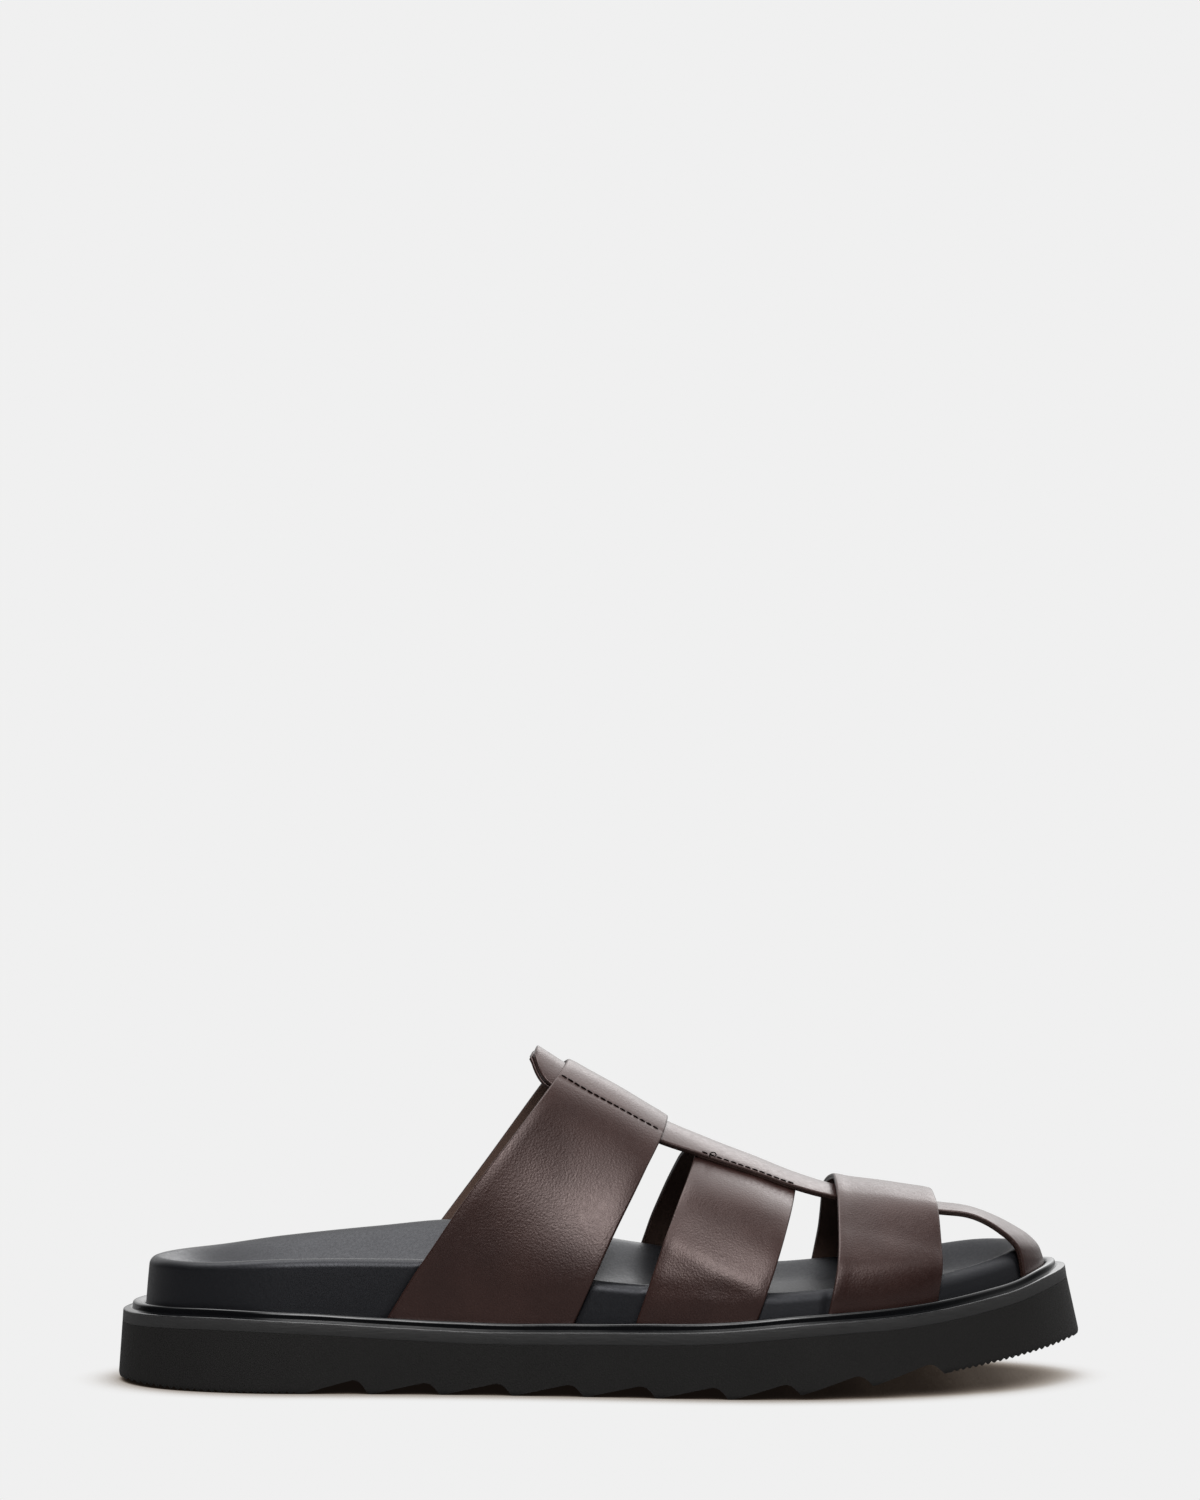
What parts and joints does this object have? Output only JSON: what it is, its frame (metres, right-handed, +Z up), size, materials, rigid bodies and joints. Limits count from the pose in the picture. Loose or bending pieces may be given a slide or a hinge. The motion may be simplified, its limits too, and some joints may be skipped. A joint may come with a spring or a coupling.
{
  "type": "fisherman sandal",
  "caption": "Slip-on fisherman sandal for the right foot: leather straps joined to a strap along the instep, cupped footbed, welt with a raised bead, lugged platform sole with toe spring.",
  "frame": {"origin": "on the ground under the middle of the sole's length and width", "axes": "+X towards the toe, +Y towards the inner (medial) side of the right foot, +Z up"},
  "size_m": [0.3004, 0.1077, 0.1031],
  "materials": {
    "outsole_rubber": "matt black-brown light rubber",
    "welt_compound": "satin band with a glossy bead",
    "footbed_cover": "smooth satin black",
    "brown_leather": "fine-grained semi-gloss dark brown"
  },
  "bodies": {
    "root": {"outsole": "outsole_rubber", "welt": "welt_compound", "footbed": "footbed_cover", "upper": "brown_leather"}
  },
  "joints": []
}
